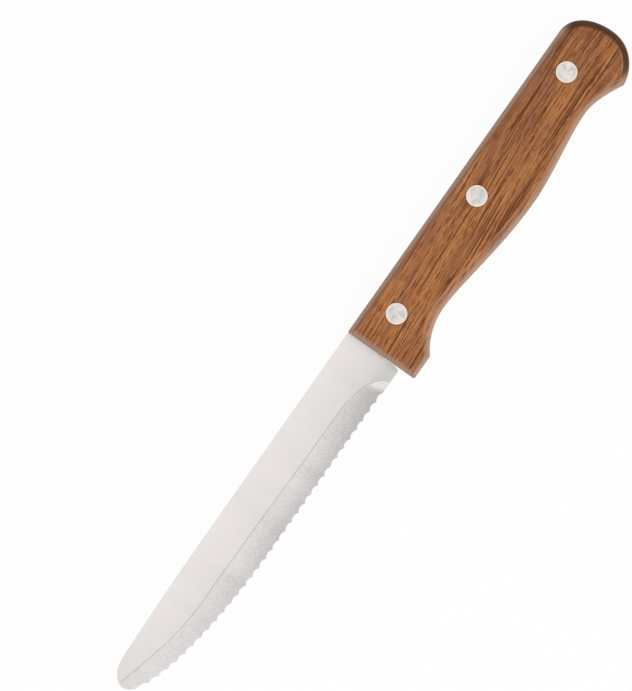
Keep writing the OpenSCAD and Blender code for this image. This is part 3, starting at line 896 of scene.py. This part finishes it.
def turned_aluminium():
    """Aluminium faced on a lathe: fine rings about the middle, a cloudy tone that differs from rivet to
    rivet, painted highlights in sectors about the middle, a paler, warmer middle, and a painted highlight
    that makes the rim paler and warmer."""
    material, tree = finish_material("aluminium_turned")
    spot = add(tree, "TexCoord").outputs
    centred = vector_calc(tree, "SUBTRACT", spot["Generated"], (0.5, 0.5, 0.5))
    flat = vector_calc(tree, "MULTIPLY", centred, (2 * head_r, 2 * head_r, 0.0))
    radius = add(tree, "VectorMath", {0: flat}, operation="LENGTH").outputs["Value"]
    rings = add(tree, "TexNoise", {"W": radius, "Scale": 7.0, "Detail": 4.0, "Roughness": 0.8},
                noise_dimensions="1D").outputs["Fac"]
    in_mm = add(tree, "VectorMath", {0: spot["Object"], "Scale": 1 / mm}, operation="SCALE").outputs[0]
    # Soft sectors about each head's middle are painted highlights
    middle = vector_calc(tree, "SUBTRACT", in_mm, flat)
    outwards = vector_calc(tree, "NORMALIZE", flat)
    own_sectors = vector_calc(tree, "MULTIPLY_ADD", middle, (0.31, 0.31, 0.31), outwards)
    highlight_sectors = add(tree, "TexNoise", {"Vector": own_sectors, "Scale": 1.3, "Detail": 1.0}).outputs["Fac"]
    clouds = add(tree, "TexNoise", {"Vector": in_mm, "Scale": 0.55, "Detail": 3.0}).outputs["Fac"]
    cloudy = calc(tree, "MULTIPLY_ADD", clouds, 3.4, calc(tree, "MULTIPLY_ADD", highlight_sectors, 1.8, -2.1))
    tone = calc(tree, "ADD", cloudy, swing(tree, rings, -0.2, 0.2), clamp=True)
    # A paler, warmer middle, and a paler, warmer ring near the rim that is a painted highlight
    at_middle = ramp(tree, radius, 0.0, 1.1, 0.5, 0.0)
    at_rim = ramp(tree, radius, 2.0, 2.6, 0.0, 0.8)
    warmer = calc(tree, "MAXIMUM", at_middle, at_rim)
    colour = tint(tree, warmer, tint(tree, tone, grey_metal, pale_metal), warm_metal)
    bump = add(tree, "Bump", {"Strength": 0.5, "Distance": turned_ring_h, "Height": rings})
    round_about = add(tree, "Tangent", direction_type="RADIAL", axis="Z")
    metal = add(tree, "BsdfPrincipled", {
        "Base Color": colour, "Metallic": 1.0, "Roughness": swing(tree, rings, 0.24, 0.36),
        "Anisotropic": 0.7, "Tangent": round_about.outputs[0], "Normal": bump.outputs[0]})
    add(tree, "OutputMaterial", {"Surface": metal.outputs[0]})
    return material


aluminium = turned_aluminium()
head_face = [(r, half_t - head_crown * (r / head_r) ** 2) for r in face_radii]
head_face += [(head_r - head_chamfer, half_t - head_crown),
              (head_r - chamfer_step, half_t - head_crown - chamfer_step),
              (head_r, half_t - head_crown - head_chamfer), (head_r, seat_z)]
cap_profile = head_face + [(shank_r, seat_z), (shank_r, seat_z - shank_l), (pin_hole_r, seat_z - shank_l),
                           (pin_hole_r, seat_z), (0, seat_z)]
post_profile = head_face + [(pin_r, seat_z), (pin_r, seat_z - shank_l + pin_chamfer),
                            (pin_r - pin_chamfer, seat_z - shank_l), (0, seat_z - shank_l)]
for place, centre in zip(("front", "middle", "rear"), rivet_places):
    bm = bmesh.new()
    turned(bm, centre, cap_profile[::-1])
    cap = piece("rivet_cap_" + place + "_turned", bm, [aluminium])
    bm = bmesh.new()
    turned(bm, centre, [(r, -z) for r, z in post_profile])
    post = piece("rivet_post_" + place + "_turned", bm, [aluminium])
    for rivet, node in ((cap, "rivet_cap_" + place), (post, "rivet_post_" + place)):
        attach(rivet, "root")
        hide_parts(node)

# The table. It is a sheet of white paper, far wider than the knife, that looks nearly as bright as the
# white surround and keeps a soft shadow under the knife.

paper_half = 3.0
paper_white = (0.90, 0.90, 0.90, 1)
plain_white = (1, 1, 1, 1)
paper_glow = 0.95


def direct_rays(tree):
    """One for what is seen, straight on, in a reflection or through glass, and nothing for what lights."""
    rays = add(tree, "LightPath").outputs
    seen = calc(tree, "ADD", rays["Is Camera Ray"], rays["Is Glossy Ray"])
    return calc(tree, "ADD", seen, rays["Is Transmission Ray"], clamp=True)


corners = [(sx * paper_half, sy * paper_half, 0) for sx, sy in ((-1, -1), (1, -1), (1, 1), (-1, 1))]
floor_mesh = bpy.data.meshes.new("floor")
floor_mesh.from_pydata(corners, [], [(0, 1, 2, 3)])
floor = bpy.data.objects.new("floor", floor_mesh)
bpy.context.scene.collection.objects.link(floor)
paper, tree = finish_material("white_sheet")
matte = add(tree, "BsdfDiffuse", {"Color": paper_white})
glow = add(tree, "Emission", {"Color": plain_white, "Strength": 1.0})
glow_share = times(tree, direct_rays(tree), paper_glow)
mixed = add(tree, "MixShader", {0: glow_share, 1: matte.outputs[0], 2: glow.outputs[0]})
add(tree, "OutputMaterial", {"Surface": mixed.outputs[0]})
floor_mesh.materials.append(paper)

# The light of a photographer's tent. It is white all round and gives most of its light from above, with a
# lamp outside it on the side of the edge that the tent wall hides from what shines.

side_light = 0.2
top_light = 1.25
top_narrowing = 2.0
lamp_side = Vector((0, -1.15, 0.6))
lamp_w, lamp_h = 1.6, 0.6
lamp_brightness = 2.2

world = bpy.data.worlds.new("white_surround")
bpy.context.scene.world = world
world.use_nodes = True
tree = world.node_tree
tree.nodes.clear()
way = add(tree, "SeparateXYZ", {0: add(tree, "TexCoord").outputs["Generated"]}).outputs
from_above = calc(tree, "POWER", calc(tree, "MAXIMUM", way["Z"], 0.0), top_narrowing)
given = calc(tree, "MULTIPLY_ADD", from_above, top_light, side_light)
strength = add(tree, "Mix", {"Factor": direct_rays(tree), "A": given, "B": 1.0}, data_type="FLOAT")
surround = add(tree, "Background", {"Color": plain_white, "Strength": strength.outputs[0]})
add(tree, "OutputWorld", {"Surface": surround.outputs[0]})

lamp_data = bpy.data.lights.new("edge_side_lamp", "AREA")
lamp_data.shape = "RECTANGLE"
lamp_data.size, lamp_data.size_y = lamp_w, lamp_h
lamp_data.energy = lamp_brightness * math.pi * lamp_w * lamp_h
lamp = bpy.data.objects.new("edge_side_lamp", lamp_data)
lamp.location = lamp_side
lamp.rotation_euler = (-lamp_side).to_track_quat("-Z", "Y").to_euler()
lamp.visible_glossy = False
bpy.context.scene.collection.objects.link(lamp)

# The camera looks straight down on the flat side, turned so that the knife lies from the lower left to
# the upper right, through a long lens whose frame is 691 pixels high.

pixel = 0.26255 * mm
frame_h = 691 * pixel
distance = 6
right = Vector((0.5757, -0.8177, 0))
up = Vector((0.8177, 0.5757, 0))
aim = Vector((-4.78 * mm, 15.74 * mm, knife_origin.z + 4 * mm))

camera_data = bpy.data.cameras.new("camera")
camera = bpy.data.objects.new("camera", camera_data)
bpy.context.scene.collection.objects.link(camera)
camera_data.sensor_fit = "VERTICAL"
camera_data.sensor_height = 24
camera_data.lens = camera_data.sensor_height * distance / frame_h
turn = Matrix((right, up, Vector((0, 0, 1)))).transposed().to_4x4()
camera.matrix_world = Matrix.Translation(aim + Vector((0, 0, distance))) @ turn
bpy.context.scene.camera = camera

bpy.context.scene.view_settings.view_transform = "Standard"
